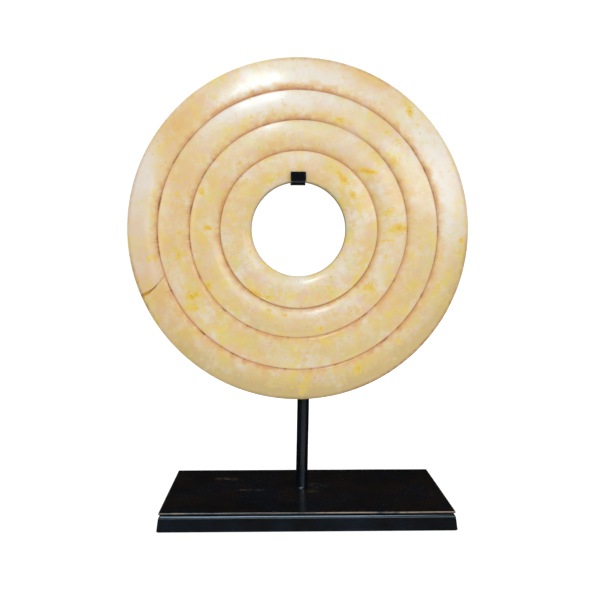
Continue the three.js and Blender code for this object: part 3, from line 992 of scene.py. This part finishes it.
studio = {
    "aim": (0, 0, 0.23),       # metres, where every light faces
    "floorSize": 8.0,
    "floorDrop": 0.0002,
    "floorColour": (0.3, 0.3, 0.3, 1),
    "nearGlow": (0.86, 0.86, 0.85, 1),
    "farGlow": (1, 1, 1, 1),
    "glowFrom": 0.1,           # metres from the object at which the floor starts to whiten, and is white
    "whiteFrom": 0.25,
    "skyColour": (1.0, 0.985, 0.965, 1),
    "frontSky": 0.04,
    "backSky": 0.012,
    "lowSky": 1.0,             # the pale table in front, as gloss sees it
    "seenSky": 1.06,           # the backdrop, as the camera sees it
    "evenSky": 0.645,          # what matt surfaces get from all round
    "lowShade": 0.22,          # how much less of it comes from below
}
# name: place, width and height in metres, power in watts, tint, whether gloss shows it, and whether it is
# kept to the foot and rod
softBoxes = {
    "keyLight": ((-0.2, -1.19, 1.13), (0.28, 0.28), 2.8, (0.62, 0.82, 1.0), True, False),
    "rightLight": ((0.78, -1.16, 0.55), (0.8, 0.36), 2.4, (0.95, 0.98, 1.0), True, False),
    "leftLight": ((-0.80, -1.2, 0.3), (0.12, 0.6), 0.6, (0.93, 0.97, 1.0), True, False),
    "frontFill": ((0.1, -2.4, 0.5), (2.0, 1.6), 15, (1.0, 1.0, 1.0), False, False),
    "overhead": ((-0.3, -0.9, 1.7), (1.2, 1.0), 3, (1.0, 0.99, 0.97), False, False),
    "behindFill": ((0.2, 1.5, 1.2), (1.4, 1.0), 14, (1.0, 1.0, 1.0), False, False),
    "standFront": ((0.35, -1.15, 0.42), (1.5, 0.25), 6, (0.85, 0.93, 1.0), True, True),
    "standAbove": ((-0.2, -0.55, 1.3), (1.2, 0.9), 44, (0.72, 0.86, 1.0), True, True),
}


def softBox(name, place, size, power, tint, inGloss, onStand):
    # a rectangular light that faces the disc
    data = bpy.data.lights.new(name, "AREA")
    data.shape = "RECTANGLE"
    data.size, data.size_y = size
    data.energy = power
    data.color = tint
    light = bpy.data.objects.new(name, data)
    light.location = place
    facing = Vector(studio["aim"]) - Vector(place)
    light.rotation_euler = facing.to_track_quat("-Z", "Y").to_euler()
    light.visible_glossy = inGloss
    if onStand:
        light.light_linking.receiver_collection = footAndRod
        light.visible_diffuse = False
    bpy.context.scene.collection.objects.link(light)


def layFloor():
    # matt and pale, glowing a little more the farther it is from the object, so no horizon shows
    half, under = studio["floorSize"] / 2, -studio["floorDrop"]
    mesh = bpy.data.meshes.new("floor")
    corners = [(-half, -half, under), (half, -half, under), (half, half, under), (-half, half, under)]
    mesh.from_pydata(corners, [], [(0, 1, 2, 3)])
    floor = bpy.data.objects.new("floor", mesh)
    bpy.context.scene.collection.objects.link(floor)
    settings = {"Base Color": studio["floorColour"], "Roughness": 0.9, "Emission Strength": 1.0}
    material, principled, start = newMaterial("paleFloor", settings)
    place = start.node("ShaderNodeTexCoord", output="Object")
    away = place.vector("LENGTH", (0, 0, 0), output="Value")
    whiteness = away.ramp(studio["glowFrom"], studio["whiteFrom"])
    glow = whiteness.paint(studio["nearGlow"], studio["farGlow"])
    connect(principled, Emission_Color=glow)
    mesh.materials.append(material)
    floor.visible_glossy = floor.visible_diffuse = False


def lightStudio():
    # soft boxes, and a dim sky that is brightest in front and white only where the camera looks at it
    for name, values in softBoxes.items():
        softBox(name, *values)
    world = bpy.data.worlds.new("studio")
    world.use_nodes = True
    bpy.context.scene.world = world
    sky = Shade(world.node_tree)
    direction = sky.node("ShaderNodeTexCoord", output="Generated")
    kind, given = "ShaderNodeSeparateXYZ", {0: direction}
    across, forward, upward = (direction.node(kind, None, given, output=axis) for axis in "XYZ")
    ahead = forward.ramp(0, -0.4)
    # the table is low in front and fades at its two sides
    table = upward.ramp(-0.12, -0.3) * across.ramp(-0.6, -0.3) * across.ramp(0.9, 0.6)
    level = studio["backSky"] + ahead * (studio["frontSky"] + table * studio["lowSky"])
    seen = sky.node("ShaderNodeLightPath", output="Is Camera Ray")
    matt = sky.node("ShaderNodeLightPath", output="Is Diffuse Ray")
    gloss = sky.node("ShaderNodeLightPath", output="Is Glossy Ray")
    background = world.node_tree.nodes["Background"]
    background.inputs["Color"].default_value = studio["skyColour"]
    even = studio["evenSky"] * (1 - upward.ramp(0.1, -0.5) * studio["lowShade"])
    strength = level * gloss + seen * studio["seenSky"] + matt * even
    world.node_tree.links.new(strength.socket, background.inputs["Strength"])
    world.cycles.sampling_method = "NONE"
    bpy.context.scene.view_settings.view_transform = "Standard"


layFloor()
lightStudio()
print("studio lit")
